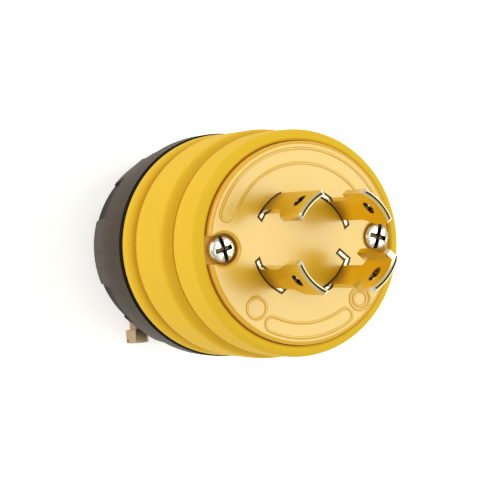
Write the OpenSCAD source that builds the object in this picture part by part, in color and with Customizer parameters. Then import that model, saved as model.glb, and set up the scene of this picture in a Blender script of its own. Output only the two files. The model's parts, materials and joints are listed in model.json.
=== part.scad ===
// Four-blade locking power plug, 30 A class, standing on its cord end.
// +Z runs from the cord entry to the blade tips; the origin is the middle of the rear end.
// The X axis lies in the split between the two halves of the rear housing.

/* [Body] */
// Radius of the rigid body under the rubber sleeve
core_r = 27.2; // [24:0.1:32]
// Height of the sleeve's front rim above the rear end of the cord clamp
rim_z = 90; // [84:1:110]
// How far the flat face stands out of the rim
face_rise = 1.9; // [0.5:0.1:4]
// Thickness of the face wall below the rim
face_wall = 3; // [2:0.1:5]
// Depth of the skirt that laps over the terminal carrier, below the rim
skirt_depth = 9; // [7:0.5:12]
// Wall of the skirt
skirt_wall = 2.5; // [1.5:0.1:4]
// Depth of the terminal carrier's rear end below the rim
carrier_depth = 34; // [30:1:40]

/* [Sleeve] */
// Length of the rubber sleeve
sleeve_len = 49; // [44:1:60]
// Thickness of the sleeve over the wide grip band
sleeve_wall = 4.3; // [3:0.1:6]
// Radial gap between the sleeve and the body, seen as the dark line round the face
sleeve_gap = 0.15; // [0.05:0.05:0.5]
// Depth of the two creases that part the bands
crease = 1.1; // [0.3:0.1:1.5]
// How far the front band lies below the wide grip band
band_drop = 1.1; // [0.5:0.1:2]

/* [Rear housing] */
// How far the rear housing stands out beyond the sleeve
rear_step = 0.55; // [0.2:0.05:1.5]
// How much its radius shrinks towards the rear edge
rear_taper = 4.1; // [2:0.1:6]
// Depth of its rear edge below the rim
rear_depth = 81; // [76:1:90]
// Wall of the rear housing
rear_wall = 2.6; // [2:0.1:4]
// Gap between the two halves along the split
split_gap = 0.2; // [0.1:0.05:0.6]
// How far the cord clamp jaws stand in from the body's radius
jaw_inset = 4.8; // [3:0.1:7]
// Radius of the cord channel between the jaws
cord_r = 9.5; // [7:0.1:12]
// Open space between the jaws where they grip
jaw_gap = 1.6; // [0.8:0.1:4]
// Angles of the grip pockets from the X axis, in each quarter
pocket_angles = [31.5, 70];
// Width of a grip pocket as an angle
pocket_span = 25; // [10:1:32]

/* [Blades] */
// Mean radius of the blade circle
blade_r = 14; // [12:0.1:16]
// Blade thickness
blade_t = 1.5; // [1:0.05:2]
// Height of the blade tips above the rim
tip_rise = 26.8; // [22:0.1:30]
// How much farther the ground blade reaches
ground_extra = 2.2; // [0:0.1:3]
// Side clearance of a blade in its slot
slot_gap = 0.16; // [0.08:0.01:0.3]
// Half width of the neck
neck_half = 3.3; // [2.5:0.1:4]
// Half width of the broad root and of the locking tab
root_half = 5.8; // [5:0.1:6.5]
// Height above the rim where the locking tab's slope starts
tab_rise = 13.2; // [11:0.1:16]
// Diameter of the hole near the tip
tip_hole_d = 3.5; // [2:0.1:4]

/* [Fasteners] */
// How far the assembly screws stand in from the body's radius
screw_inset = 4.3; // [4:0.1:6]
// Head diameter of the assembly screws
screw_head_d = 7.5; // [6:0.1:8]
// Shank diameter of the assembly screws
screw_d = 3.4; // [2.8:0.1:4]
// Distance of the two clamp screws from the side of the cord channel
clamp_out = 5.1; // [4:0.1:7]
// Shank diameter of the clamp screws
clamp_d = 4.2; // [3:0.1:5]
// Width across the flats of the clamp screw heads
clamp_af = 6.35; // [5.5:0.05:8]
// Bare shank seen between the clamp boss and the screw head
clamp_bare = 5.9; // [0:0.1:8]
// Shank diameter of the terminal screws
term_d = 4; // [3:0.1:4.5]
// Radial clearance of a screw in a plain hole
hole_gap = 0.2; // [0.1:0.05:0.5]
// Radial clearance of a screw in its own thread
thread_gap = 0.05; // [0.02:0.01:0.1]

/* [Hidden] */
face_z = rim_z + face_rise;
wall_z = rim_z - face_wall;
skirt_z = rim_z - skirt_depth;
carrier_z = rim_z - carrier_depth;
sleeve_z = rim_z - sleeve_len;
sleeve_in = core_r + sleeve_gap;
sleeve_r = sleeve_in + sleeve_wall;
front_r = sleeve_r - band_drop;
rear_r = sleeve_r + rear_step;
rear_edge_r = rear_r - rear_taper;
rear_z = rim_z - rear_depth;
shoulder_z = sleeve_z - 0.2;
chamfer_z = rear_z + 15.4;
end_wall = 3.4;
// the seat gap between pieces that meet along Z
seat = 0.1;
// tip and foot of the blades
ring_in = blade_r - blade_t / 2;
ring_out = blade_r + blade_t / 2;
tip_z = rim_z + tip_rise;
tab_z = rim_z + tab_rise;
foot_z = carrier_z + 4;
ear_z = skirt_z + 1;
// terminals: one screw, one pressure plate and one well for each blade
term_z = carrier_z + 13;
well_top = carrier_z + 19;
well_floor = carrier_z + 6;
well_half = 1.4 * term_d;
plate_in = blade_r + 4.1;
plate_t = 0.4 * term_d;
plate_half = well_half - term_d / 4;
plate_corner = term_d / 4;
plate_low = well_floor + 0.3 * term_d;
plate_top = well_top - 0.15 * term_d;
tooth = 0.2 * term_d;
term_head_r = term_d;
term_head_h = 0.6 * term_d;
slot_w = 0.3 * term_d;
slot_depth = 0.275 * term_d;
term_tip = ring_in - 1.45;
wire_r = 2.1;
wire_x = blade_r + 3.5;
// assembly screw and its insert
head_top = face_z;
head_h = 0.35 * screw_head_d;
seat_z = head_top - head_h;
recess_r = screw_head_d / 2 + 0.5;
notch_half = screw_head_d / 2;
lip = 0.7;
screw_r = core_r - screw_inset;
boss_r = 4.3;
insert_r = 3;
insert_len = 8;
insert_z = carrier_z - 14;
// cord clamp
jaw_z = rear_z / 2;
jaw_r = core_r - jaw_inset;
clamp_x = cord_r + clamp_out;
clamp_boss_r = 4;
clamp_flat = jaw_r - 4.1;
clamp_under = clamp_flat + clamp_bare;
clamp_head_h = 4;
nut_af = 8.7;
nut_h = 3.3;
nut_seat = jaw_r - 9.6;
// blade angles round the axis, and their outlines' half widths
angle_x = 37.75;
angle_y = angle_x + 180;
angle_n = 129.2;
angle_g = -45.5;
narrow_half = 4.5;
leaf_in = 9.4;
// raised outlines on the face
band_r = core_r - 4;
band_half = 2.2;
bead_w = 0.45;
bead_h = 0.25;

// ---------- small helpers ----------

// points of an arc about c
function arc_pts(c, r, a0, a1, n = 6) =
    [for (i = [0:n]) c + r * [cos(a0 + (a1 - a0) * i / n), sin(a0 + (a1 - a0) * i / n)]];

// a ring profile turned about Z, with chamfered top edges
module ring(r0, r1, z0, z1, c = 0)
    rotate_extrude($fn = 128)
        polygon([[r0, z0], [r1, z0], [r1, z1 - c], [r1 - c, z1], [r0 + c, z1], [r0, z1 - c]]);

// an outline in the tangent plane, driven through the ring along X
module tangent_prism(pts, x0, x1)
    translate([x0, 0, 0]) rotate([90, 0, 90]) linear_extrude(x1 - x0) polygon(pts);

// a round bar along X
module bar_x(r, x0, x1, z, fn = 48)
    translate([x0, 0, z]) rotate([0, 90, 0]) cylinder(r = r, h = x1 - x0, $fn = fn);

// a round bar along Y
module bar_y(r, x, y0, y1, z, fn = 48)
    translate([x, y0, z]) rotate([-90, 0, 0]) cylinder(r = r, h = y1 - y0, $fn = fn);

// a raised ring on the face
module ring_outline(r)
    rotate_extrude($fn = 64) translate([r - bead_w, face_z - 0.3]) square([bead_w, bead_h + 0.3]);

// the contour of a band along a circle, with round ends
function band_pts(r, half, a0, a1) = concat(
    arc_pts([0, 0], r + half, a0, a1, ceil((a1 - a0) / 5)),
    [for (i = [1:7]) r * [cos(a1), sin(a1)] + half * [cos(a1 + 22.5 * i), sin(a1 + 22.5 * i)]],
    arc_pts([0, 0], r - half, a1, a0, ceil((a1 - a0) / 5)),
    [for (i = [1:7]) r * [cos(a0), sin(a0)] + half * [cos(a0 + 180 + 22.5 * i), sin(a0 + 180 + 22.5 * i)]]);

// the raised outline of such a band
module band_outline(r, half, a0, a1) {
    outer = band_pts(r, half, a0, a1);
    inner = band_pts(r, half - bead_w, a0, a1);
    n = len(outer);
    translate([0, 0, face_z - 0.3]) linear_extrude(bead_h + 0.3)
        polygon(concat(outer, inner), [[for (i = [0:n - 1]) i], [for (i = [0:n - 1]) n + i]]);
}

// ---------- blades ----------

// root, neck and locking tab of a blade as seen from outside the ring
function blade_outline(lo_root, lo_neck, lo_tip, hi_root, hi_neck, hi_tab, slope, top) = [
    [-lo_root, foot_z], [hi_root, foot_z],
    [hi_root, face_z], [hi_neck, face_z],
    [hi_neck, tab_z], [hi_tab, tab_z + slope],
    [hi_tab, top - 0.7], [hi_tab - 0.6, top],
    [-lo_tip + 0.6, top], [-lo_tip, top - 0.8],
    [-lo_tip, tab_z + 6.5], [-lo_neck, tab_z + 0.6],
    [-lo_neck, face_z], [-lo_root, face_z]];

hot_outline = blade_outline(root_half - 0.2, neck_half + 0.2, root_half - 1,
    root_half, neck_half, root_half + 0.4, 2.8, tip_z);
neutral_outline = blade_outline(narrow_half, narrow_half - 0.2, narrow_half - 0.3,
    narrow_half + 0.3, neck_half - 0.6, narrow_half + 0.6, 2.2, tip_z);
ground_outline = blade_outline(root_half - 0.8, neck_half, root_half - 1,
    root_half + 0.3, neck_half, root_half + 0.3, 2.8, tip_z + ground_extra);

// ears that lock the foot between the carrier and the face
module ears(lo, hi, grow = 0)
    intersection() {
        ring(ring_in - grow, ring_out + grow, ear_z - grow, wall_z - seat);
        tangent_prism([[-lo - 1.2 - grow, ear_z - grow], [hi + 1.2 + grow, ear_z - grow],
            [hi + 1.2 + grow, wall_z], [-lo - 1.2 - grow, wall_z]], blade_r / 2, 2 * blade_r);
    }

// a curved blade cut from a ring, with its tip hole and tapped foot
module blade(outline, lo, hi, top)
    difference() {
        union() {
            intersection() {
                ring(ring_in, ring_out, foot_z, top, 0.45);
                tangent_prism(outline, blade_r / 2, 2 * blade_r);
            }
            ears(lo, hi);
        }
        bar_x(tip_hole_d / 2, blade_r / 2, 2 * blade_r, top - 6);
        bar_x(term_d / 2 + thread_gap, blade_r / 2, 2 * blade_r, term_z);
    }

// the leaf that the ground blade turns in towards the axis
module ground_leaf(grow = 0, z0 = foot_z, z1 = face_z)
    translate([leaf_in - grow, root_half + 0.3 - blade_t - grow, z0])
        cube([ring_in - 0.35 - leaf_in + grow, blade_t + 2 * grow, z1 - z0]);

module blade_x() color([0.93, 0.86, 0.74])
    rotate(angle_x) blade(hot_outline, root_half - 0.2, root_half, tip_z);

module blade_y() color([0.93, 0.86, 0.74])
    rotate(angle_y) blade(hot_outline, root_half - 0.2, root_half, tip_z);

module blade_neutral() color([0.90, 0.88, 0.84])
    rotate(angle_n) blade(neutral_outline, narrow_half, narrow_half + 0.3, tip_z);

module blade_ground() color([0.92, 0.86, 0.76])
    rotate(angle_g) {
        top = tip_z + ground_extra;
        blade(ground_outline, root_half - 0.8, root_half + 0.3, top);
        // root leaf, flush with the face like the shoulders
        ground_leaf(0, ear_z);
        // hooked leaf with a sloped lower edge
        intersection() {
            ground_leaf(0, tab_z, top);
            rotate([90, 0, 0]) linear_extrude(3 * root_half, center = true)
                polygon([[leaf_in - 1, tab_z + 1.4], [leaf_in + 1, tab_z - 0.4], [2 * blade_r, tab_z - 0.4],
                    [2 * blade_r, top], [leaf_in + 0.8, top], [leaf_in - 1, top - 1.8]]);
        }
    }

// the room that a blade's root needs, in the face or in the carrier
module blade_room(lo, hi, z0, z1)
    intersection() {
        ring(ring_in - slot_gap, ring_out + slot_gap, z0, z1);
        tangent_prism([[-lo - slot_gap, z0], [hi + slot_gap, z0],
            [hi + slot_gap, z1], [-lo - slot_gap, z1]], blade_r / 2, 2 * blade_r);
    }

// all four roots, with the ground blade's leaf
module blade_rooms(z0, z1) {
    for (a = [angle_x, angle_y]) rotate(a) blade_room(root_half - 0.2, root_half, z0, z1);
    rotate(angle_n) blade_room(narrow_half, narrow_half + 0.3, z0, z1);
    rotate(angle_g) blade_room(root_half - 0.8, root_half + 0.3, z0, z1);
}

// ---------- face plate ----------

// a screw seat with a soft lip, open to the rim of the disc
module screw_recess(s) {
    translate([s * screw_r, 0, 0]) rotate_extrude($fn = 64) polygon([
        [0, seat_z], [recess_r, seat_z], [recess_r, face_z - 0.6], [recess_r + 0.25, face_z - 0.25],
        [recess_r + lip, face_z], [recess_r + lip, face_z + 1], [0, face_z + 1]]);
    translate([s > 0 ? screw_r : -screw_r - core_r, -notch_half, seat_z])
        cube([core_r, 2 * notch_half, screw_head_d]);
}

module face_plate() color([0.96, 0.80, 0.45])
    difference() {
        union() {
            // domed edge, flat face and lapping skirt
            rotate_extrude($fn = 180) polygon(concat(
                [[0, wall_z], [core_r - skirt_wall, wall_z], [core_r - skirt_wall, skirt_z],
                    [core_r, skirt_z], [core_r, rim_z - 0.2]],
                arc_pts([core_r - 1.1, face_z - 1.1], 1.1, 12, 90, 6),
                [[0, face_z]]));
            for (s = [-1, 1]) intersection() {
                translate([s * screw_r, 0, skirt_z]) cylinder(r = boss_r, h = wall_z - skirt_z + 1, $fn = 64);
                cylinder(r = core_r - skirt_wall / 2, h = rim_z, $fn = 96);
            }
            // raised outlines: two bands and two rings
            for (b = [[24, 157], [243, 299]]) band_outline(band_r, band_half, b[0], b[1]);
            for (q = [[-1.3, 227.5, 3], [-0.5, 314.5, 3.2], [-0.5, 314.5, 2.2]])
                rotate(q[1]) translate([band_r + q[0], 0, 0]) ring_outline(q[2]);
        }
        blade_rooms(wall_z - 1, face_z + 1);
        rotate(angle_g) ground_leaf(slot_gap, wall_z - 1, face_z + 1);
        for (s = [-1, 1]) {
            screw_recess(s);
            translate([s * screw_r, 0, skirt_z - 1])
                cylinder(r = screw_d / 2 + hole_gap, h = core_r, $fn = 48);
        }
    }

// ---------- rubber sleeve ----------

// a smooth slope of the profile from [r0, z0] to [r1, z1]
function ease(r0, z0, r1, z1, n = 7) =
    [for (i = [1:n]) [r0 + (r1 - r0) * (1 - cos(180 * i / n)) / 2, z0 + (z1 - z0) * i / n]];

module grip_sleeve() color([0.93, 0.75, 0.20])
    rotate_extrude($fn = 180) polygon(concat(
        // rear rim
        [[sleeve_in, sleeve_z], [sleeve_r - 0.9, sleeve_z]],
        arc_pts([sleeve_r - 0.85, sleeve_z + 1], 1, -80, 0, 5),
        [[sleeve_r + 0.15, sleeve_z + 2.4]],
        // rear crease
        ease(sleeve_r + 0.15, sleeve_z + 2.4, sleeve_r - crease, sleeve_z + 7.1),
        ease(sleeve_r - crease, sleeve_z + 7.1, sleeve_r, sleeve_z + 12.4),
        // wide grip band and front crease
        [[sleeve_r, rim_z - 21.4]],
        ease(sleeve_r, rim_z - 21.4, front_r - 0.7 * crease, rim_z - 16),
        ease(front_r - 0.7 * crease, rim_z - 16, front_r, rim_z - 13.2, 5),
        // front band and rounded rim
        [[front_r + 0.1, rim_z - 9], [front_r - 0.05, rim_z - 5]],
        arc_pts([front_r - 2.6, rim_z - 2.4], 2.55, 8, 88, 8),
        [[sleeve_in + 0.5, rim_z + 0.05], [sleeve_in, rim_z - 0.5]],
        // bead that holds the sleeve on the carrier
        [[sleeve_in, skirt_z - 2.6], [core_r - 0.45, skirt_z - 3.1],
            [core_r - 0.45, skirt_z - 4.3], [sleeve_in, skirt_z - 4.8]]));

// ---------- terminal carrier ----------

module terminal_well() {
    // well for the pressure plate, open to the side
    translate([ring_out - 0.05, -well_half, well_floor])
        cube([core_r, 2 * well_half, well_top - well_floor]);
    // wire hole from the rear
    translate([wire_x, 0, carrier_z - 1]) cylinder(r = wire_r, h = well_floor - carrier_z + 2, $fn = 40);
    translate([wire_x, 0, carrier_z - 0.3]) cylinder(r1 = wire_r + 1.6, r2 = wire_r - 0.4, h = 2, $fn = 40);
    // room for the tip of the terminal screw
    bar_x(term_d / 2 + hole_gap, term_tip - 0.8, ring_in + blade_t / 2, term_z);
}

module terminal_carrier() color([0.95, 0.93, 0.86])
    difference() {
        rotate_extrude($fn = 180) polygon([[0, carrier_z], [core_r, carrier_z],
            [core_r, skirt_z - 5], [core_r - 0.6, skirt_z - 4.4], [core_r - 0.6, skirt_z - 3],
            [core_r, skirt_z - 2.4], [core_r, skirt_z],
            [core_r - skirt_wall - 0.2, skirt_z], [core_r - skirt_wall - 0.2, wall_z - seat],
            [0, wall_z - seat]]);
        // blade feet and their ears
        blade_rooms(foot_z - seat, wall_z + 1);
        for (a = [angle_x, angle_y]) rotate(a) ears(root_half - 0.2, root_half, seat);
        rotate(angle_n) ears(narrow_half, narrow_half + 0.3, seat);
        rotate(angle_g) {
            ears(root_half - 0.8, root_half + 0.3, seat);
            ground_leaf(slot_gap, ear_z - seat, wall_z + 1);
        }
        for (a = [angle_x, angle_y, angle_n, angle_g]) rotate(a) terminal_well();
        // seats for the face plate's bosses and the long screws
        for (s = [-1, 1]) {
            translate([s * screw_r, 0, skirt_z]) cylinder(r = boss_r + hole_gap, h = skirt_depth, $fn = 64);
            translate([s > 0 ? screw_r : -screw_r - core_r, -boss_r - hole_gap / 2, skirt_z])
                cube([core_r, 2 * boss_r + hole_gap, skirt_depth]);
            translate([s * screw_r, 0, carrier_z - 1])
                cylinder(r = screw_d / 2 + hole_gap, h = carrier_depth, $fn = 48);
        }
        // cored-out middle, seen from the wiring chamber
        translate([0, 0, carrier_z - 1]) cylinder(r = ring_in - 5.75, h = skirt_z - carrier_z - 3, $fn = 64);
    }

// ---------- terminals ----------

// clamping plate with two teeth and a lip that keeps the wire in
module pressure_plate(a) rotate(a) difference() {
    union() {
        tangent_prism([[-plate_half, plate_low], [plate_half, plate_low],
            [plate_half, plate_top - plate_corner], [plate_half - plate_corner, plate_top],
            [-plate_half + plate_corner, plate_top], [-plate_half, plate_top - plate_corner]],
            plate_in, plate_in + plate_t);
        translate([plate_in - 2 * tooth, -plate_half + plate_corner, plate_top - 1.75 * tooth])
            cube([2.1 * tooth, 2 * (plate_half - plate_corner), 1.65 * tooth]);
        for (z = [term_z - 1.05 * term_d, term_z + 0.85 * term_d])
            translate([plate_in - tooth / 2, -plate_half, z]) cube([0.6 * tooth, 2 * plate_half, tooth]);
    }
    bar_x(term_d / 2 + hole_gap, plate_in - plate_t, plate_in + 2 * plate_t, term_z);
}

// binding-head screw with a straight and a cross slot
module terminal_screw(a) rotate(a) difference() {
    head_x = plate_in + plate_t;
    union() {
        bar_x(term_d / 2, term_tip, head_x + seat, term_z);
        translate([head_x, 0, term_z]) rotate([0, 90, 0]) rotate_extrude($fn = 64)
            polygon([[0, 0], [term_head_r, 0], [term_head_r, 0.58 * term_head_h],
                [0.85 * term_head_r, 0.875 * term_head_h], [0.65 * term_head_r, term_head_h],
                [0, term_head_h]]);
    }
    translate([head_x + term_head_h - slot_depth, -2 * term_head_r, term_z - slot_w / 2])
        cube([term_head_h, 4 * term_head_r, slot_w]);
    translate([head_x + term_head_h - slot_depth, -slot_w / 2, term_z - 2 * slot_w])
        cube([term_head_h, slot_w, 4 * slot_w]);
}

module pressure_plate_x() color([0.80, 0.68, 0.38]) pressure_plate(angle_x);
module pressure_plate_y() color([0.80, 0.68, 0.38]) pressure_plate(angle_y);
module pressure_plate_neutral() color([0.80, 0.68, 0.38]) pressure_plate(angle_n);
module pressure_plate_ground() color([0.80, 0.68, 0.38]) pressure_plate(angle_g);
module terminal_screw_x() color([0.82, 0.66, 0.30]) terminal_screw(angle_x);
module terminal_screw_y() color([0.82, 0.66, 0.30]) terminal_screw(angle_y);
module terminal_screw_neutral() color([0.84, 0.84, 0.83]) terminal_screw(angle_n);
module terminal_screw_ground() color([0.20, 0.52, 0.28]) terminal_screw(angle_g);

// ---------- assembly screws ----------

// long pan-head screw with a combination recess: one arm of the cross runs right across
module assembly_screw(s, turn) translate([s * screw_r, 0, 0]) {
    hr = screw_head_d / 2;
    arm = 0.15 * screw_head_d;
    difference() {
        union() {
            translate([0, 0, insert_z - 1]) cylinder(d = screw_d, h = seat_z - insert_z + 1 + seat, $fn = 40);
            translate([0, 0, seat_z]) rotate_extrude($fn = 72) polygon(concat(
                [[0, 0], [hr, 0], [hr, head_h * 0.34]],
                arc_pts([hr * 0.54, head_h * 0.34], hr * 0.46, 8, 60, 5),
                [[hr * 0.4, head_h * 0.985], [0, head_h]]));
        }
        rotate(turn) translate([0, 0, head_top - 0.58 * head_h]) {
            translate([-2 * hr, -arm / 2, 0]) cube([4 * hr, arm, head_h]);
            translate([-arm * 0.55, -hr * 0.66, 0]) cube([1.1 * arm, hr * 1.32, head_h]);
            translate([0, 0, -head_h / 5]) cylinder(r = 0.9 * arm, h = head_h, $fn = 32);
        }
    }
}

module assembly_screw_left() color([0.88, 0.86, 0.83]) assembly_screw(-1, 104);
module assembly_screw_right() color([0.88, 0.86, 0.83]) assembly_screw(1, 72);

// round brass inserts held between the halves
module insert_body(grow = 0)
    rotate_extrude($fn = 48) polygon([[0, -grow], [insert_r + grow, -grow],
        [insert_r + grow, 2.6 - grow], [insert_r - 0.6 + grow, 3.2 - grow],
        [insert_r - 0.6 + grow, insert_len - 3.2 + grow], [insert_r + grow, insert_len - 2.6 + grow],
        [insert_r + grow, insert_len + grow], [0, insert_len + grow]]);

module threaded_inserts() color([0.80, 0.66, 0.34])
    for (s = [-1, 1]) translate([s * screw_r, 0, insert_z]) difference() {
        insert_body();
        translate([0, 0, -2]) cylinder(r = screw_d / 2 + thread_gap, h = insert_len + 4, $fn = 40);
    }

// ---------- rear housing ----------

// half of the shell with its end wall, jaw and screw seats; the other half mirrors it
module rear_half() {
    inner = core_r - rear_wall;
    chamber = rear_r - rear_wall - 0.9;
    span = 2 * rear_r;
    intersection() {
        difference() {
            union() {
                rotate_extrude(angle = 180, $fn = 180) polygon([
                    // plug-in collar under the sleeve
                    [inner, carrier_z], [core_r, carrier_z], [core_r, shoulder_z],
                    // shoulder behind the sleeve, side and long rear chamfer
                    [rear_r - 0.7, shoulder_z], [rear_r, shoulder_z - 0.7], [rear_r, shoulder_z - 7.5],
                    [rear_r - 0.7, chamfer_z], [rear_edge_r + 0.4, rear_z + 0.6],
                    [rear_edge_r - 0.4, rear_z],
                    // end wall with the funnel to the cord channel
                    [cord_r, rear_z], [cord_r, rear_z + 1.4], [cord_r + 2.6, rear_z + end_wall],
                    [rear_edge_r - 5.4, rear_z + end_wall],
                    [chamber, rear_z + 19], [chamber, shoulder_z - 3.4], [inner, shoulder_z - 1.2]]);
                // seats for the inserts
                for (s = [-1, 1]) intersection() {
                    translate([s * screw_r - 4.6, 0, insert_z - 1.6])
                        cube([9.2, boss_r + 1, insert_len + 5.6]);
                    cylinder(r = core_r - 0.3, h = rim_z, $fn = 96);
                }
                // clamp jaw
                difference() {
                    rotate_extrude(angle = 180, $fn = 180) polygon([[0, 0], [jaw_r - 0.8, 0], [jaw_r, 0.8],
                        [jaw_r, rear_z + 0.5], [0, rear_z + 0.5]]);
                    translate([0, 0, -1]) cylinder(r = cord_r, h = rear_z + 3, $fn = 96);
                    for (z = [1.6, 4.0, 6.4]) translate([0, 0, z])
                        cylinder(r = cord_r + 0.8, h = 1.2, $fn = 96);
                    translate([-span, -1, -1]) cube([2 * span, 1 + jaw_gap / 2, rear_z + 1]);
                }
            }
            // grip pockets cut into the rear chamfer
            for (m = [0, 1]) mirror([m, 0, 0]) {
                rotate(pocket_angles[0] - pocket_span / 2) rotate_extrude(angle = pocket_span, $fn = 180)
                    polygon([[rear_edge_r - 0.2, rear_z - 1], [rear_r + 4, rear_z - 1],
                        [rear_r + 4, chamfer_z + 0.2], [rear_edge_r + 1.3, chamfer_z + 0.2],
                        [rear_edge_r - 0.2, rear_z + 4]]);
                rotate(pocket_angles[1] - pocket_span / 2) rotate_extrude(angle = pocket_span, $fn = 180)
                    polygon([[rear_edge_r - 0.2, rear_z - 1], [rear_r + 4, rear_z - 1],
                        [rear_r + 4, shoulder_z - 8.8], [rear_r - 1.3, shoulder_z - 8.8],
                        [rear_r - 1.5, rear_z + 13], [rear_edge_r - 0.2, rear_z + 1]]);
            }
            for (s = [-1, 1]) translate([s * screw_r, 0, insert_z]) {
                insert_body(thread_gap);
                translate([0, 0, -3]) cylinder(r = screw_d / 2 + hole_gap, h = rim_z, $fn = 40);
            }
        }
        translate([-span, split_gap / 2, -1]) cube([2 * span, span, rim_z]);
    }
}

// upper half: the nuts of the clamp screws sit in it
module rear_housing_upper() color([0.28, 0.25, 0.21])
    difference() {
        union() {
            rear_half();
            for (s = [-1, 1]) bar_y(clamp_boss_r + 0.6, s * clamp_x, cord_r * 0.3, nut_seat + 2, jaw_z);
        }
        for (s = [-1, 1]) {
            bar_y(clamp_d / 2 + hole_gap, s * clamp_x, -1, rear_r, jaw_z);
            translate([s * clamp_x, nut_seat, jaw_z]) rotate([-90, 0, 0])
                cylinder(r = (nut_af / 2 + 0.1) / cos(30), h = jaw_r, $fn = 6);
        }
        // the bosses keep clear of the cord channel and the split
        translate([0, 0, -1]) cylinder(r = cord_r, h = rear_z + 1, $fn = 96);
        translate([-2 * rear_r, -2 * rear_r, -1])
            cube([4 * rear_r, 2 * rear_r + jaw_gap / 2, rear_z + 1]);
    }

// lower half: the clamp screws come in through its two bosses
module rear_housing_lower() color([0.28, 0.25, 0.21])
    difference() {
        union() {
            mirror([0, 1, 0]) rear_half();
            for (s = [-1, 1]) bar_y(clamp_boss_r, s * clamp_x, -clamp_flat, -cord_r * 0.6, jaw_z);
        }
        for (s = [-1, 1]) bar_y(clamp_d / 2 + hole_gap, s * clamp_x, -rear_r, 1, jaw_z);
        translate([0, 0, -1]) cylinder(r = cord_r, h = rear_z + 1, $fn = 96);
    }

// ---------- cord clamp screws ----------

// hexagon head with a straight slot, standing off its boss
module clamp_screw(s) difference() {
    union() {
        bar_y(clamp_d / 2, s * clamp_x, -clamp_under - 0.1, nut_seat + nut_h + 1.2, jaw_z, 40);
        intersection() {
            translate([s * clamp_x, -clamp_under, jaw_z]) rotate([90, 0, 0])
                cylinder(r = clamp_af / 2 / cos(30), h = clamp_head_h, $fn = 6);
            translate([s * clamp_x, -clamp_under, jaw_z]) rotate([90, 0, 0]) rotate_extrude($fn = 64)
                polygon([[0, 0], [clamp_af / 2 + 0.3, 0], [clamp_af, 1], [clamp_af, clamp_head_h - 0.9],
                    [clamp_af / 2 - 0.1, clamp_head_h], [0, clamp_head_h]]);
        }
    }
    translate([s * clamp_x - clamp_af, -clamp_under - 1.25 * clamp_head_h, jaw_z - 0.6])
        cube([2 * clamp_af, 0.55 * clamp_head_h, 1.2]);
}

module clamp_screw_left() color([0.84, 0.75, 0.62]) clamp_screw(-1);
module clamp_screw_right() color([0.84, 0.75, 0.62]) clamp_screw(1);

module clamp_nuts() color([0.84, 0.75, 0.62])
    for (s = [-1, 1]) difference() {
        translate([s * clamp_x, nut_seat, jaw_z]) rotate([-90, 0, 0])
            cylinder(r = nut_af / 2 / cos(30), h = nut_h, $fn = 6);
        bar_y(clamp_d / 2 + thread_gap, s * clamp_x, nut_seat - 1, nut_seat + nut_h + 1, jaw_z, 40);
    }

face_plate();
grip_sleeve();
terminal_carrier();
rear_housing_upper();
rear_housing_lower();
blade_x();
blade_y();
blade_neutral();
blade_ground();
pressure_plate_x();
pressure_plate_y();
pressure_plate_neutral();
pressure_plate_ground();
terminal_screw_x();
terminal_screw_y();
terminal_screw_neutral();
terminal_screw_ground();
assembly_screw_left();
assembly_screw_right();
threaded_inserts();
clamp_screw_left();
clamp_screw_right();
clamp_nuts();
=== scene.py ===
# %% [markdown]
# # A locking power plug, dressed
#
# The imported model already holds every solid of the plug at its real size: a nylon face, a rubber
# sleeve, a split rear housing, four curved blades, and the terminals inside. This lesson gives
# those solids their edges and their finishes, and sets a studio round them. Every length below is
# in metres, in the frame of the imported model: +Z runs from the cord entry to the blade tips.

import json
import math

import bmesh
import bpy
from mathutils import Matrix, Vector


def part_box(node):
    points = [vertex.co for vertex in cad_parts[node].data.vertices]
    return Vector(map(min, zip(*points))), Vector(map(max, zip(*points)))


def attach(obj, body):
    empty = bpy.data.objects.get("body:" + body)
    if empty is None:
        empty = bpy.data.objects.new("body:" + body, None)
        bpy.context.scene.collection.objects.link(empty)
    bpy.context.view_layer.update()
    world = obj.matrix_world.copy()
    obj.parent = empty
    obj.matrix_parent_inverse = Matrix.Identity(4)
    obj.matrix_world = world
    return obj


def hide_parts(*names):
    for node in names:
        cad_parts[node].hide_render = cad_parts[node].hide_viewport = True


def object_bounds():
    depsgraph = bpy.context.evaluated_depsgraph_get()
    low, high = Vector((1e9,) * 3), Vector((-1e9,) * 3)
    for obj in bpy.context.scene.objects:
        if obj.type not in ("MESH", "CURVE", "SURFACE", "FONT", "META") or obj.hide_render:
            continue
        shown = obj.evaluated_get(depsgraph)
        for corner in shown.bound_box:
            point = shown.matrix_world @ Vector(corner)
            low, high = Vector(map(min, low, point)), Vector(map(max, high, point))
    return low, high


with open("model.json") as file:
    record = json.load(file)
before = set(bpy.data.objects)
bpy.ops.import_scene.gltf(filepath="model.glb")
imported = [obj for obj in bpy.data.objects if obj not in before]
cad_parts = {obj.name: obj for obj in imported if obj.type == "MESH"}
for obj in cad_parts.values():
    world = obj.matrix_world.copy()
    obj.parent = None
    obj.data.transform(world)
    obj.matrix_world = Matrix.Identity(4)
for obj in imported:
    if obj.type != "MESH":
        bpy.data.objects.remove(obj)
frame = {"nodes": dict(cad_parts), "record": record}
cad_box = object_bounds()
MM = 0.001
BODY = "root"


def box_of(node):
    """The lowest and highest corner of one solid, as vectors."""
    low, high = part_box(node)
    return Vector(low), Vector(high)


face_high = box_of("face_plate")[1]
housing_high = box_of("rear_housing_upper")[1]
sleeve_low, sleeve_high = box_of("grip_sleeve")
print("solids in the frame:", len(frame["nodes"]))
print("sleeve from %.1f to %.1f mm" % (sleeve_low.z / MM, sleeve_high.z / MM))

# %% [markdown]
# ## A workbench for shader maths
#
# A material is a graph of nodes. Written by hand, a sum of two masks takes five lines, so one small
# class wraps an output socket and lets Python's own operators add the Math nodes. A second class
# holds one material and adds any other node from a single method. The choice is a plain one: the
# formulas of a finish can then be read as formulas.

# %% The socket wrapper and the material bench


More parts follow.
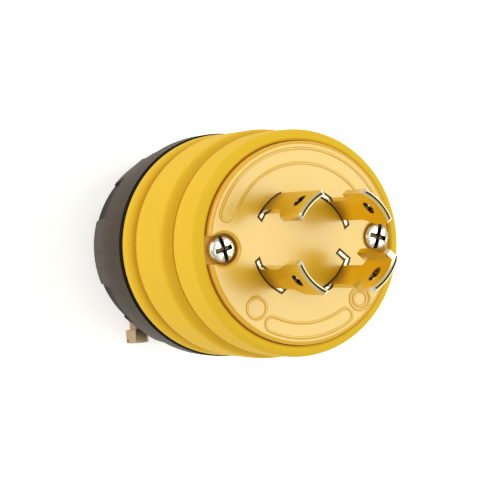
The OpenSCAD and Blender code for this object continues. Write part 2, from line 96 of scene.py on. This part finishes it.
class Wire:
    """One output socket. An operator on it adds a Math node and returns that node's output."""

    def __init__(self, bench, socket):
        self.bench, self.socket = bench, socket

    def _math(self, operation, first, second):
        return self.bench.node("ShaderNodeMath", {"operation": operation}, [first, second])

    def __add__(self, other):
        return self._math("ADD", self, other)

    __radd__ = __add__

    def __sub__(self, other):
        return self._math("SUBTRACT", self, other)

    def __rsub__(self, other):
        return self._math("SUBTRACT", other, self)

    def __mul__(self, other):
        return self._math("MULTIPLY", self, other)

    __rmul__ = __mul__

    def __truediv__(self, other):
        return self._math("DIVIDE", self, other)

    def __pow__(self, other):
        return self._math("POWER", self, other)

    def __gt__(self, other):
        return self._math("GREATER_THAN", self, other)

    def clamp(self):
        return self.most(0.0).least(1.0)

    def absolute(self):
        return self._math("ABSOLUTE", self, 0.0)

    def most(self, other):
        return self._math("MAXIMUM", self, other)

    def least(self, other):
        return self._math("MINIMUM", self, other)


class Bench:
    """One material: its Principled shader, and a method that adds any other node."""

    def __init__(self, name):
        self.material = bpy.data.materials.new(name)
        self.material.use_nodes = True
        self.tree = self.material.node_tree
        self.tree.nodes.clear()
        self.shader = self.tree.nodes.new("ShaderNodeBsdfPrincipled")
        output = self.tree.nodes.new("ShaderNodeOutputMaterial")
        self.tree.links.new(self.shader.outputs["BSDF"], output.inputs["Surface"])
        self.place = self.node("ShaderNodeTexCoord", {}, {}, "Object")
        self.x, self.y, self.z = self.split(self.place)

    def node(self, kind, settings, inputs, out=0):
        """Adds a node: its settings first, then a value or a link for each input socket."""
        made = self.tree.nodes.new(kind)
        for key, value in settings.items():
            setattr(made, key, value)
        pairs = enumerate(inputs) if isinstance(inputs, list) else inputs.items()
        for key, value in pairs:
            self.feed(made.inputs[key], value)
        return Wire(self, made.outputs[out])

    def feed(self, socket, value):
        if isinstance(value, Wire):
            self.tree.links.new(value.socket, socket)
        else:
            socket.default_value = value

    def split(self, vector):
        made = self.tree.nodes.new("ShaderNodeSeparateXYZ")
        self.feed(made.inputs[0], vector)
        return [Wire(self, made.outputs[i]) for i in range(3)]

    def noise(self, scale, detail=3.0, roughness=0.55, stretch=(1.0, 1.0, 1.0)):
        """A noise between 0 and 1; scale counts its features to the metre."""
        at = self.place
        if stretch != (1.0, 1.0, 1.0):
            at = self.node("ShaderNodeMapping", {"vector_type": "POINT"}, {"Vector": at, "Scale": stretch})
        return self.node("ShaderNodeTexNoise", {"noise_dimensions": "3D"},
                         {"Vector": at, "Scale": scale, "Detail": detail, "Roughness": roughness}, "Fac")

    def mix(self, mask, first, second):
        """Between two colours by a mask. The colour sockets of Mix are numbers 6 and 7."""
        return self.node("ShaderNodeMix", {"data_type": "RGBA"}, {0: mask, 6: first, 7: second}, 2)

    def radius(self):
        return (self.x * self.x + self.y * self.y) ** 0.5

    def step(self, value, start, end):
        """0 before start, 1 after end, straight between."""
        return ((value - start) / (end - start)).clamp()

    def bell(self, value, centre, width):
        """1 at centre, falling off on both sides over width."""
        away = (value - centre) / width
        return self.node("ShaderNodeMath", {"operation": "EXPONENT"}, [away * away * -1.0])

    def normal(self):
        """The three parts of the direction that the surface faces, in its own piece's axes."""
        return self.split(self.node("ShaderNodeTexCoord", {}, {}, "Normal"))

    def bump(self, height, distance, strength=1.0):
        return self.node("ShaderNodeBump", {}, {"Height": height, "Distance": distance, "Strength": strength},
                         "Normal")

    def finish(self, **sockets):
        for name, value in sockets.items():
            self.feed(self.shader.inputs[name.replace("_", " ")], value)
        print("finish:", self.material.name, "with", len(self.tree.nodes), "nodes")
        return self.material


def tone(red, green, blue):
    """A colour given as a screen shows it, 0 to 255, in the linear form that a shader takes."""
    def linear(value):
        value /= 255
        return value / 12.92 if value <= 0.04045 else ((value + 0.055) / 1.055) ** 2.4
    return (linear(red), linear(green), linear(blue), 1.0)


print("the bench is ready")

# %% [markdown]
# ## Yellow nylon for the face
#
# The face is one glossy moulding in deep golden nylon. What looks pale on it is the sheen of a soft
# light, so the colour is kept deep and the gloss does the rest: where a blade hides the light, the
# gold comes through. A slow noise shifts the colour and the gloss a little, the rounded edge is
# warmer, the sunk screw seats are dull and painted a little darker as shade, and round each slot
# the face gets a dark line of painted shade, where the blade sits close in its slot.
# To find that line, the first cell measures where each blade passes through the face. The places
# could be typed in, but measured ones stay right when the blades move.


# %% Where the blades cross the face
BLADES = ("blade_x", "blade_y", "blade_neutral", "blade_ground")
BLADE_RADIUS = 14.0 * MM
RING_INNER = 13.0 * MM
LEAF_OUTER = 11.0 * MM
NEAR_FACE = 1.5 * MM


def blade_angle(node):
    """The direction from the axis to a blade, as an angle from +X."""
    low, high = box_of(node)
    return math.atan2(low.y + high.y, low.x + high.x)


def cut_in_face(node, level):
    """The places where a blade crosses the face: boxes in a frame turned to the blade."""
    angle = blade_angle(node)
    turn = Matrix.Rotation(-angle, 3, "Z")
    points = [point.co for point in frame["nodes"][node].data.vertices]
    spots = [turn @ point for point in points if abs(point.z - level) < NEAR_FACE]
    ring = [spot for spot in spots if spot.xy.length > RING_INNER]
    boxes = [(angle, "ring", min(spot.xy.length for spot in ring), max(spot.xy.length for spot in ring),
              min(spot.y for spot in spots), max(spot.y for spot in spots))]
    leaf = [spot for spot in spots if spot.x < LEAF_OUTER]
    if leaf:
        boxes.append((angle, "leaf", min(spot.x for spot in leaf), RING_INNER,
                      min(spot.y for spot in leaf), max(spot.y for spot in leaf)))
    return boxes


slots = [box for node in BLADES for box in cut_in_face(node, face_high.z)]
print("slots in the face:", len(slots))


def from_slots(bench):
    """How far a point lies outside the nearest slot, in metres."""
    nearest = None
    for angle, kind, start, end, right, left in slots:
        along = bench.x * math.cos(angle) + bench.y * math.sin(angle)
        across = bench.y * math.cos(angle) - bench.x * math.sin(angle)
        reach = bench.radius() if kind == "ring" else along
        away = (reach - end).most(start - reach).most(across - left).most(right - across)
        away = away.most(along * -1.0)
        nearest = away if nearest is None else nearest.least(away)
    return nearest


# %% [markdown]
# ## Raised outlines of the face
#
# Two bands and three rings stand a quarter of a millimetre proud of the face. The solid holds them
# with upright sides, which are too thin to catch the light, while the moulded ones have soft
# shoulders. A bump adds the shoulders: it follows the same arcs and circles by a formula of
# distance, so it costs no faces.


# %% Where the outlines run
# The middle of the bands, half their width, and the width of the bead that draws them
BAND_REACH, BAND_HALF, BEAD = 23.2 * MM, 2.2 * MM, 0.45 * MM
SHOULDER = 0.34 * MM
# The end angles of each band, and for each ring its step outwards, its angle and its radius
BANDS = ((24, 157), (243, 299))
RINGS = ((-1.3 * MM, 227.5, 3.0 * MM), (-0.5 * MM, 314.5, 3.2 * MM), (-0.5 * MM, 314.5, 2.2 * MM))


def band_away(bench, reach, start, end):
    """How far a point lies from an arc of the given reach between two angles in degrees, in metres."""
    middle, half = math.radians((start + end) / 2), math.radians((end - start) / 2)
    ahead = bench.x * math.cos(middle) + bench.y * math.sin(middle)
    inside = ahead > bench.radius() * math.cos(half)
    first, last = [spot_away(bench, reach * math.cos(turn), reach * math.sin(turn))
                   for turn in (middle - half, middle + half)]
    return (bench.radius() - reach).absolute() * inside + first.least(last) * (1.0 - inside)


def spot_away(bench, x, y):
    """How far a point lies from a line along Z through (x, y), in metres."""
    along, across = bench.x - x, bench.y - y
    return (along * along + across * across) ** 0.5


def raised_lines(bench):
    """1 on the middle of each raised outline of the face, falling off softly on both sides."""
    ridge = None
    for start, end in BANDS:
        line = bench.bell(band_away(bench, BAND_REACH, start, end), BAND_HALF - BEAD / 2, SHOULDER)
        ridge = line if ridge is None else ridge.most(line)
    for out, turn, size in RINGS:
        reach, angle = BAND_REACH + out, math.radians(turn)
        away = spot_away(bench, reach * math.cos(angle), reach * math.sin(angle))
        ridge = ridge.most(bench.bell(away, size - BEAD / 2, SHOULDER))
    return ridge


print("raised outlines:", len(BANDS), "bands and", len(RINGS), "rings")


# %% Face nylon
def make_face_nylon():
    """Heights are measured down from the tops of the raised outlines."""
    bench = Bench("face_nylon")
    cloud = bench.noise(60.0, 2.0)
    edge = bench.step(bench.z, face_high.z - 0.5 * MM, face_high.z - 1.5 * MM)
    sunk = bench.step(bench.z, face_high.z - 0.9 * MM, face_high.z - 1.3 * MM)
    # A dark line of painted shade on the face round each slot, where the blade sits close in it
    slot_line_shade = 1.0 - bench.step(from_slots(bench), 0.08 * MM, 0.3 * MM)
    ridge = raised_lines(bench)
    colour = bench.mix(cloud, tone(221, 165, 4), tone(225, 173, 10))
    colour = bench.mix(edge * 0.7, colour, tone(226, 162, 20))
    # Painted shade: the sunk screw seats are painted a little darker, besides being made duller
    colour = bench.mix(sunk * 0.85, colour, tone(212, 148, 8))
    # Painted shade: the dark line round each slot
    colour = bench.mix(slot_line_shade, colour, tone(84, 50, 10))
    grain = bench.noise(900.0, 4.0)
    roughness = (0.2 + cloud * 0.08 + slot_line_shade * 0.4 + sunk * 0.4).clamp()
    return bench.finish(Base_Color=colour, Roughness=roughness, IOR=1.75,
                        Normal=bench.bump(grain * 0.08 + ridge, 0.11 * MM, 1.0))


face_nylon = make_face_nylon()

# %% [markdown]
# ## Yellow rubber for the sleeve
#
# The sleeve is a softer yellow elastomer with a matte, very finely pitted skin. Handling leaves it
# a little paler where hands polish it, and the two creases are painted darker, as shade. The
# creases lie at known heights, so curves of the height find them and no picture is needed: the
# painted shade of the rear one is an even hollow, and that of the front one deepens slowly and ends
# at a sharp step.


# %% Sleeve rubber
# How far the rear crease lies above the sleeve's rear end, and the front one below its front end
REAR_CREASE, FRONT_CREASE = 7.1 * MM, 16.1 * MM


def make_sleeve_rubber():
    bench = Bench("sleeve_rubber")
    patch = bench.noise(35.0, 3.0)
    pits = bench.noise(2600.0, 2.0, 0.6)
    rear_crease = bench.bell(bench.z, sleeve_low.z + REAR_CREASE, 1.9 * MM)
    front_z = sleeve_high.z - FRONT_CREASE
    past = bench.step(bench.z, front_z, front_z + 0.5 * MM)
    slope = bench.step(bench.z, front_z - 5.0 * MM, front_z) * (1.0 - past)
    front_crease = bench.bell(bench.z, front_z, 0.5 * MM)
    # Painted shade: the two creases, and the slope before the front one, are painted darker
    crease_shade = (rear_crease * 0.9 + slope * 0.6 + front_crease * 0.8).clamp()
    colour = bench.mix(patch, tone(222, 177, 42), tone(226, 185, 52))
    colour = bench.mix(crease_shade, colour, tone(176, 120, 0))
    return bench.finish(Base_Color=colour, Roughness=0.5 + pits * 0.12, IOR=1.1,
                        Normal=bench.bump(pits, 0.03 * MM, 0.6))


sleeve_rubber = make_sleeve_rubber()

# %% [markdown]
# ## Black nylon for the rear housing
#
# The rear housing is glass-filled black nylon from a spark-eroded mould. Such a skin scatters
# light, so the part reads as a warm dark grey with broad soft highlights. Two noises do it: a fine
# one for the eroded grain, and a slow one for the flow of the plastic. The bottoms of the grip
# pockets and the step under the sleeve get no light, and one formula of radius and height finds
# them: it compares each point with the line of the chamfer.


# %% Housing nylon
# The chamfer's two ends, how much the radius shrinks over it, and the top of the cord clamp
CHAMFER_LOW, CHAMFER_HIGH, CHAMFER_IN = 9.6 * MM, 24.4 * MM, 3.0 * MM
CLAMP_TOP = 9.3 * MM


def make_housing_nylon():
    bench = Bench("housing_nylon")
    grain = bench.noise(3200.0, 2.0, 0.65)
    flow = bench.noise(45.0, 3.0)
    shoulder = sleeve_low.z - 0.2 * MM
    side = housing_high.y - 0.7 * MM
    chamfer = side - (1.0 - bench.step(bench.z, CHAMFER_LOW, CHAMFER_HIGH)) * CHAMFER_IN
    below_rim = 1.0 - bench.step(bench.z, shoulder - 1.6 * MM, shoulder - 1.4 * MM)
    pocket = bench.step(chamfer - bench.radius(), 0.25 * MM, 0.45 * MM) * (bench.z > CLAMP_TOP) * below_rim
    under_rim = bench.step(bench.z, shoulder - 1.15 * MM, shoulder - 0.85 * MM)
    colour = bench.mix(flow, tone(53, 40, 27), tone(61, 48, 33))
    colour = bench.mix(pocket.most(under_rim), colour, tone(20, 13, 7))
    return bench.finish(Base_Color=colour, Roughness=0.42 + grain * 0.14, IOR=1.21,
                        Normal=bench.bump(grain, 0.03 * MM, 0.7))


housing_nylon = make_housing_nylon()

# %% [markdown]
# ## Pale nylon for the terminal carrier
#
# The carrier holds the terminals and is never seen on a closed plug. It is moulded in natural nylon
# without dye, so a slow noise between two creams is enough.


# %% Carrier nylon
def make_carrier_nylon():
    bench = Bench("carrier_nylon")
    cloud = bench.noise(70.0, 2.0)
    colour = bench.mix(cloud, tone(238, 229, 202), tone(228, 217, 186))
    return bench.finish(Base_Color=colour, Roughness=0.4 + cloud * 0.1, IOR=1.52,
                        Normal=bench.bump(bench.noise(1200.0), 0.02 * MM, 0.5))


carrier_nylon = make_carrier_nylon()

# %% [markdown]
# ## Metals
#
# The blades are blanked from rolled strip, so fine lines run along them, and the screws are plated,
# which leaves them brighter. One maker serves every metal: a base colour and a duller one that a
# noise mixes in, with the noise stretched along the rolling direction where the real piece was
# rolled. A piece with more to tell hands the maker a function of its own, which shades the colour.


# %% One maker for the metals
def make_metal(name, bright, dull, rough, lines=(1.0, 1.0, 1.0), scale=400.0, metallic=1.0, shade=None):
    bench = Bench(name)
    streak = bench.noise(scale, 3.0, 0.6, stretch=lines)
    stain = bench.noise(90.0, 3.0)
    colour = bench.mix((stain * 1.6 - 0.4).clamp(), bright, dull)
    if shade:
        colour = shade(bench, colour)
    return bench.finish(Base_Color=colour, Metallic=metallic, Roughness=streak * 0.12 + (rough - 0.04),
                        Normal=bench.bump(streak, 0.01 * MM, 0.35))


terminal_brass = make_metal("terminal_brass", tone(222, 186, 104), tone(196, 156, 78), 0.3)
terminal_silver = make_metal("terminal_silver", tone(226, 226, 222), tone(200, 200, 196), 0.26)
terminal_green = make_metal("terminal_green", tone(36, 128, 62), tone(22, 96, 44), 0.36, metallic=0.6)
clamp_steel = make_metal("clamp_steel", tone(184, 160, 128), tone(160, 136, 106), 0.3)

# %% [markdown]
# ## Metal of the blades
#
# A blade shows two kinds of surface. Its rolled sides get a painted reflection of the gold face,
# lighter on the inner side than on the outer, and painted shade that darkens them towards the root.
# Its cut ends are bright, with a dark line along the middle of the tip where the punch broke
# through. The way that the surface turns tells one from the other, and the height and the distance
# from a slot or a hole find the dark edges, which are painted shade.


# %% Blade metal
HOLE_DOWN = 6.0 * MM
TIP_ABOVE_FACE = 15.0 * MM
# How far above the face the painted shade at the root reaches
ROOT_SHADE_REACH = 7.0 * MM
ALONG_Z = (4.0, 4.0, 0.12)


def from_holes(bench):
    """How far a point lies from the axis of the nearest tip hole, in metres."""
    nearest = None
    for node in BLADES:
        angle, top = blade_angle(node), box_of(node)[1].z
        across = bench.y * math.cos(angle) - bench.x * math.sin(angle)
        along = bench.x * math.cos(angle) + bench.y * math.sin(angle)
        up = bench.z - (top - HOLE_DOWN)
        away = ((across * across + up * up) ** 0.5).most(along * -1.0)
        nearest = away if nearest is None else nearest.least(away)
    return nearest


def shade_blade(bench, colour):
    """Painted reflection and root shade on the sides, painted shade at slot and hole, a dark break line on
    the tip.
    """
    turn_x, turn_y, turn_z = bench.normal()
    outward = (turn_x * bench.x + turn_y * bench.y) / bench.radius()
    side = bench.step(outward.absolute(), 0.6, 0.9)
    above = bench.z > face_high.z
    root = (1.0 - bench.step(bench.z, face_high.z, face_high.z + ROOT_SHADE_REACH)) * above
    # A painted reflection of the gold face on the rolled sides, lighter on the inner side than the outer
    gold_reflection = bench.mix(outward > 0.0, tone(255, 232, 78), tone(234, 212, 84))
    colour = bench.mix(side * above, colour, gold_reflection)
    # Painted shade: the rolled sides are darker near the root
    colour = bench.mix(side * root * 0.72, colour, tone(120, 82, 20))
    # Painted shade: a dark rim on the blade where it enters its slot, for the shadowed gap
    flush = bench.bell(bench.z, face_high.z - 0.3 * MM, 0.5 * MM) * bench.step(turn_z, 0.3, 0.5)
    slot_rim_shade = bench.step(from_slots(bench), -0.5 * MM, -0.28 * MM)
    colour = bench.mix((flush * slot_rim_shade * 3.0).clamp(), colour, tone(58, 38, 12))
    # Painted shade on the walls of each tip hole
    bore_shade = 1.0 - bench.step(from_holes(bench), 1.85 * MM, 2.05 * MM)
    colour = bench.mix(bore_shade, colour, tone(96, 62, 34))
    middle = bench.bell(bench.radius(), BLADE_RADIUS, 0.3 * MM) * bench.step(turn_z, 0.7, 0.8)
    tip = bench.z > face_high.z + TIP_ABOVE_FACE
    top = bench.step(turn_z, 0.85, 0.97)
    colour = bench.mix(top * tip, colour, tone(206, 174, 144))
    return bench.mix((middle * tip * 1.5).clamp(), colour, tone(16, 10, 6))


blade_metal = make_metal("blade_metal", tone(246, 238, 222), tone(236, 224, 200), 0.2,
                         ALONG_Z, shade=shade_blade)

# %% [markdown]
# ## Metal of the assembly screws
#
# These two screws are nickel plated, and their cross recess is dark because little light reaches
# its floor. The darkness could come from the light alone, but a few rays at that size give a grainy
# recess, so the colour helps.


# %% Screw nickel
screw_low, screw_high = box_of("assembly_screw_right")
screw_x, screw_top = (screw_low.x + screw_high.x) / 2, screw_high.z


def shade_screw(bench, colour):
    """A dark recess: what lies well below the crown, or on the flat floor of the long arm."""
    turn_z = bench.normal()[2]
    out = bench.x.absolute() - screw_x
    from_axis = (out * out + bench.y * bench.y) ** 0.5
    low = 1.0 - bench.step(bench.z, screw_top - 0.75 * MM, screw_top - 0.45 * MM)
    inner = 1.0 - bench.step(from_axis, 2.75 * MM, 2.95 * MM)
    deep = 1.0 - bench.step(bench.z, screw_top - 1.3 * MM, screw_top - 1.1 * MM)
    floor = bench.step(turn_z, 0.85, 0.95) * deep
    return bench.mix((low * inner).most(floor * low), colour, tone(58, 48, 38))


screw_nickel = make_metal("screw_nickel", tone(238, 234, 226), tone(216, 210, 200), 0.22, shade=shade_screw)

# %% [markdown]
# ## Edges that catch the light
#
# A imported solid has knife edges, and no moulded or blanked edge is one: a radius of a tenth of a
# millimetre already draws a bright line. Each piece that shows is therefore copied, its triangles
# are joined and its flat faces merged, and a Bevel modifier rounds what is left. A Weighted Normal
# modifier then keeps the flat faces flat in their shading. The copy stands for the solid, which
# stays in the physics model untouched.
#
# The two halves of the housing touch on the real plug, while the solids keep a gap of two tenths
# of a millimetre, through which light would shine. So their copies are moved nearly together
# there: each parting face keeps a tenth of its distance from the split.


# %% Rounding the edges of a copy
HALVES = ("rear_housing_upper", "rear_housing_lower")
PARTING_FACE, PARTING_LEFT = 0.15 * MM, 0.1
print("parting faces to close:", ", ".join(HALVES))


def softened(node, width, segments=2, sharp=28.0):
    """A finished copy of one solid, with its sharp edges rounded to the width."""
    mesh = frame["nodes"][node].data.copy()
    shell = bmesh.new()
    shell.from_mesh(mesh)
    bmesh.ops.remove_doubles(shell, verts=shell.verts, dist=0.002 * MM)
    bmesh.ops.dissolve_limit(shell, angle_limit=math.radians(0.6), verts=shell.verts,
                             edges=shell.edges, delimit={"NORMAL"})
    for face in shell.faces:
        face.smooth = True
    if node in HALVES:
        for corner in shell.verts:
            if abs(corner.co.y) < PARTING_FACE:
                corner.co.y *= PARTING_LEFT
    shell.to_mesh(mesh)
    shell.free()
    piece = bpy.data.objects.new(node + "_finished", mesh)
    bpy.context.scene.collection.objects.link(piece)
    bevel = piece.modifiers.new("edge radius", "BEVEL")
    bevel.width = width
    bevel.segments = segments
    bevel.limit_method = "ANGLE"
    bevel.angle_limit = math.radians(sharp)
    bevel.use_clamp_overlap = True
    bevel.miter_outer = "MITER_ARC"
    level = piece.modifiers.new("flat faces stay flat", "WEIGHTED_NORMAL")
    level.mode, level.weight, level.keep_sharp = "FACE_AREA", 100, True
    return freeze(piece)


def freeze(piece):
    """Replaces a piece's mesh by what its modifiers make of it, and removes them."""
    bpy.context.view_layer.update()
    evaluated = piece.evaluated_get(bpy.context.evaluated_depsgraph_get())
    solid = bpy.data.meshes.new_from_object(evaluated)
    piece.modifiers.clear()
    piece.data = solid
    print("made", piece.name, "with", len(solid.polygons), "faces")
    return piece


def dress(piece, material):
    """The piece gets one material all over."""
    piece.data.materials.clear()
    piece.data.materials.append(material)


def stand_for(piece, node, material):
    """The piece takes the solid's place, finish and body."""
    dress(piece, material)
    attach(piece, BODY)
    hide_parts(node)


# %% Finishes of every solid
FINISH = {
    "face_nylon": face_nylon, "sleeve_rubber": sleeve_rubber, "housing_nylon": housing_nylon,
    "carrier_nylon": carrier_nylon, "blade_metal": blade_metal, "terminal_brass": terminal_brass,
    "terminal_silver": terminal_silver, "terminal_green": terminal_green,
    "screw_nickel": screw_nickel, "clamp_steel": clamp_steel,
}
slot_of = {row["node"]: row["material_slot"] for row in frame["record"]["subparts"]}
for node, solid in frame["nodes"].items():
    dress(solid, FINISH[slot_of[node]])
print("finished solids:", len(slot_of))

# %% [markdown]
# ## Which pieces get rounded edges
#
# The widths are those of the real edges: a moulded nylon edge is rounder than a blanked blade, and
# a screw head is rounder than its slot. The sleeve already has its curves in the solid.

# %% Round the edges
EDGE = {
    "face_plate": 0.22, "rear_housing_upper": 0.25, "rear_housing_lower": 0.25,
    "blade_x": 0.12, "blade_y": 0.12, "blade_neutral": 0.12, "blade_ground": 0.12,
    "assembly_screw_left": 0.12, "assembly_screw_right": 0.12,
    "clamp_screw_left": 0.15, "clamp_screw_right": 0.15,
}
for node, width in EDGE.items():
    stand_for(softened(node, width * MM), node, FINISH[slot_of[node]])

# %% [markdown]
# ## Threads on the clamp screws
#
# A thread is a ridge that follows a helix, so a rule makes it better than a hand does. Geometry
# Nodes sweep a small square, which stands on its corner, along a spiral. The radius, the length,
# the number of turns and the ridge are named inputs, and the two screws share one tree.


# %% The thread tree
def make_thread_tree(material):
    tree = bpy.data.node_groups.new("screw_thread", "GeometryNodeTree")
    tree.interface.new_socket("Geometry", in_out="OUTPUT", socket_type="NodeSocketGeometry")
    for name, value in (("Radius", 2.1 * MM), ("Length", 10 * MM), ("Turns", 14.0), ("Ridge", 0.3 * MM)):
        socket = tree.interface.new_socket(name, in_out="INPUT", socket_type="NodeSocketFloat")
        socket.default_value = value
    add, link = tree.nodes.new, tree.links.new
    given, result = add("NodeGroupInput"), add("NodeGroupOutput")
    spiral = add("GeometryNodeCurveSpiral")
    spiral.inputs["Resolution"].default_value = 28
    link(given.outputs["Turns"], spiral.inputs["Rotations"])
    link(given.outputs["Radius"], spiral.inputs["Start Radius"])
    link(given.outputs["Radius"], spiral.inputs["End Radius"])
    link(given.outputs["Length"], spiral.inputs["Height"])
    profile = add("GeometryNodeCurvePrimitiveCircle")
    profile.inputs["Resolution"].default_value = 4
    link(given.outputs["Ridge"], profile.inputs["Radius"])
    sweep = add("GeometryNodeCurveToMesh")
    sweep.inputs["Fill Caps"].default_value = True
    link(spiral.outputs[0], sweep.inputs["Curve"])
    link(profile.outputs[0], sweep.inputs["Profile Curve"])
    real, paint = add("GeometryNodeRealizeInstances"), add("GeometryNodeSetMaterial")
    paint.inputs["Material"].default_value = material
    link(sweep.outputs[0], real.inputs[0])
    link(real.outputs[0], paint.inputs["Geometry"])
    link(paint.outputs[0], result.inputs[0])
    print("made the tree", tree.name, "with", len(tree.nodes), "nodes")
    return tree


def thread_on(name, tree, sizes, place):
    """One thread as a plain mesh, grown by the tree from its named sizes and moved to its place."""
    piece = bpy.data.objects.new(name, bpy.data.meshes.new(name))
    bpy.context.scene.collection.objects.link(piece)
    grow = piece.modifiers.new("thread", "NODES")
    grow.node_group = tree
    for item in tree.interface.items_tree:
        if item.in_out == "INPUT":
            grow[item.identifier] = sizes[item.name]
    freeze(piece)
    piece.data.transform(place)
    return piece


# %% Threads in place
thread_tree = make_thread_tree(clamp_steel)
PITCH = 0.8 * MM
HEAD = 4.4 * MM
THREAD = 14 * MM
thread_sizes = {"Radius": 2.0 * MM, "Length": THREAD, "Turns": THREAD / PITCH, "Ridge": 0.3 * MM}
lay_along_y = Matrix.Rotation(-math.pi / 2, 4, "X")
for node in ("clamp_screw_left", "clamp_screw_right"):
    low, high = box_of(node)
    centre = (low + high) / 2
    place = Matrix.Translation((centre.x, low.y + HEAD, centre.z)) @ lay_along_y
    thread = thread_on(node + "_thread", thread_tree, thread_sizes, place)
    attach(thread, BODY)
print("threads of pitch %.1f mm" % (PITCH / MM))

# %% [markdown]
# ## Floor, light and camera
#
# The plug stands on its cord end on a plain pale floor, and the camera looks down at its face from
# one side. Product light is broad and soft. One panel stands where the glossy face mirrors it to
# the camera, which gives the pale sheen, and a second fills the other side. A bright even surround
# and a floor that glows a little keep the shadows pale. The Standard view keeps the yellows as deep
# as they are given, where the default view would wash them out.


# %% Floor
def make_floor(size, height):
    bpy.ops.mesh.primitive_plane_add(size=size, location=(0.0, 0.0, height))
    floor = bpy.context.object
    floor.name = "studio_floor"
    bench = Bench("studio_floor")
    pale = bench.mix(bench.noise(3.0, 2.0), (0.90, 0.90, 0.90, 1.0), (0.93, 0.93, 0.93, 1.0))
    dress(floor, bench.finish(Base_Color=pale, Roughness=0.7,
                              Emission_Color=(1.0, 1.0, 1.0, 1.0), Emission_Strength=0.5))
    return floor


UNDER_THE_PLUG = 0.2 * MM
make_floor(6.0, cad_box[0][2] - UNDER_THE_PLUG)


# %% Lights
def soft_panel(name, place, aim, size, power, colour=(1.0, 1.0, 1.0)):
    """A square light that faces the aim."""
    light = bpy.data.lights.new(name, "AREA")
    light.shape, light.size, light.energy, light.color = "SQUARE", size, power, colour
    panel = bpy.data.objects.new(name, light)
    bpy.context.scene.collection.objects.link(panel)
    panel.location = place
    panel.rotation_euler = (Vector(place) - Vector(aim)).to_track_quat("Z", "Y").to_euler()
    return panel


aim = (0.0, 0.0, 0.07)
soft_panel("sheen_panel", (0.35, 0.02, 0.83), aim, size=0.55, power=3.7, colour=(0.84, 1.0, 0.86))
soft_panel("fill_panel", (-0.75, 0.3, 0.4), aim, size=0.6, power=2.2)
bpy.context.scene.view_settings.view_transform = "Standard"
world = bpy.data.worlds.new("studio")
world.use_nodes = True
surround = world.node_tree.nodes["Background"]
surround.inputs["Color"].default_value = (1.0, 0.96, 0.85, 1.0)
surround.inputs["Strength"].default_value = 0.6
bpy.context.scene.world = world
print("two panels and a bright surround")


# %% Camera
def set_camera(target, yaw, pitch, roll, distance, slide, rise, lens):
    """A camera that looks along -Z of the plug, turned by yaw about Y and then rolled about Z."""
    back = Vector((-math.cos(pitch) * math.sin(yaw), math.sin(pitch), math.cos(pitch) * math.cos(yaw)))
    right = Vector((math.cos(yaw), 0.0, math.sin(yaw)))
    up = back.cross(right)
    spin = Matrix.Rotation(roll, 3, "Z")
    back, right, up = spin @ back, spin @ right, spin @ up
    camera = bpy.data.objects.new("camera", bpy.data.cameras.new("camera"))
    bpy.context.scene.collection.objects.link(camera)
    place = Vector(target) + back * distance + right * slide + up * rise
    camera.matrix_world = Matrix((
        (right.x, up.x, back.x, place.x), (right.y, up.y, back.y, place.y),
        (right.z, up.z, back.z, place.z), (0.0, 0.0, 0.0, 1.0)))
    camera.data.sensor_width = 36.0
    camera.data.lens = lens
    bpy.context.scene.camera = camera
    print("camera %.0f mm from the face" % (distance / MM))


set_camera(target=(0.0, 0.0, sleeve_high.z), yaw=0.4329, pitch=-0.0084, roll=math.radians(-4.5),
           distance=532.9 * MM, slide=-13.25 * MM, rise=-1.88 * MM, lens=144.0)
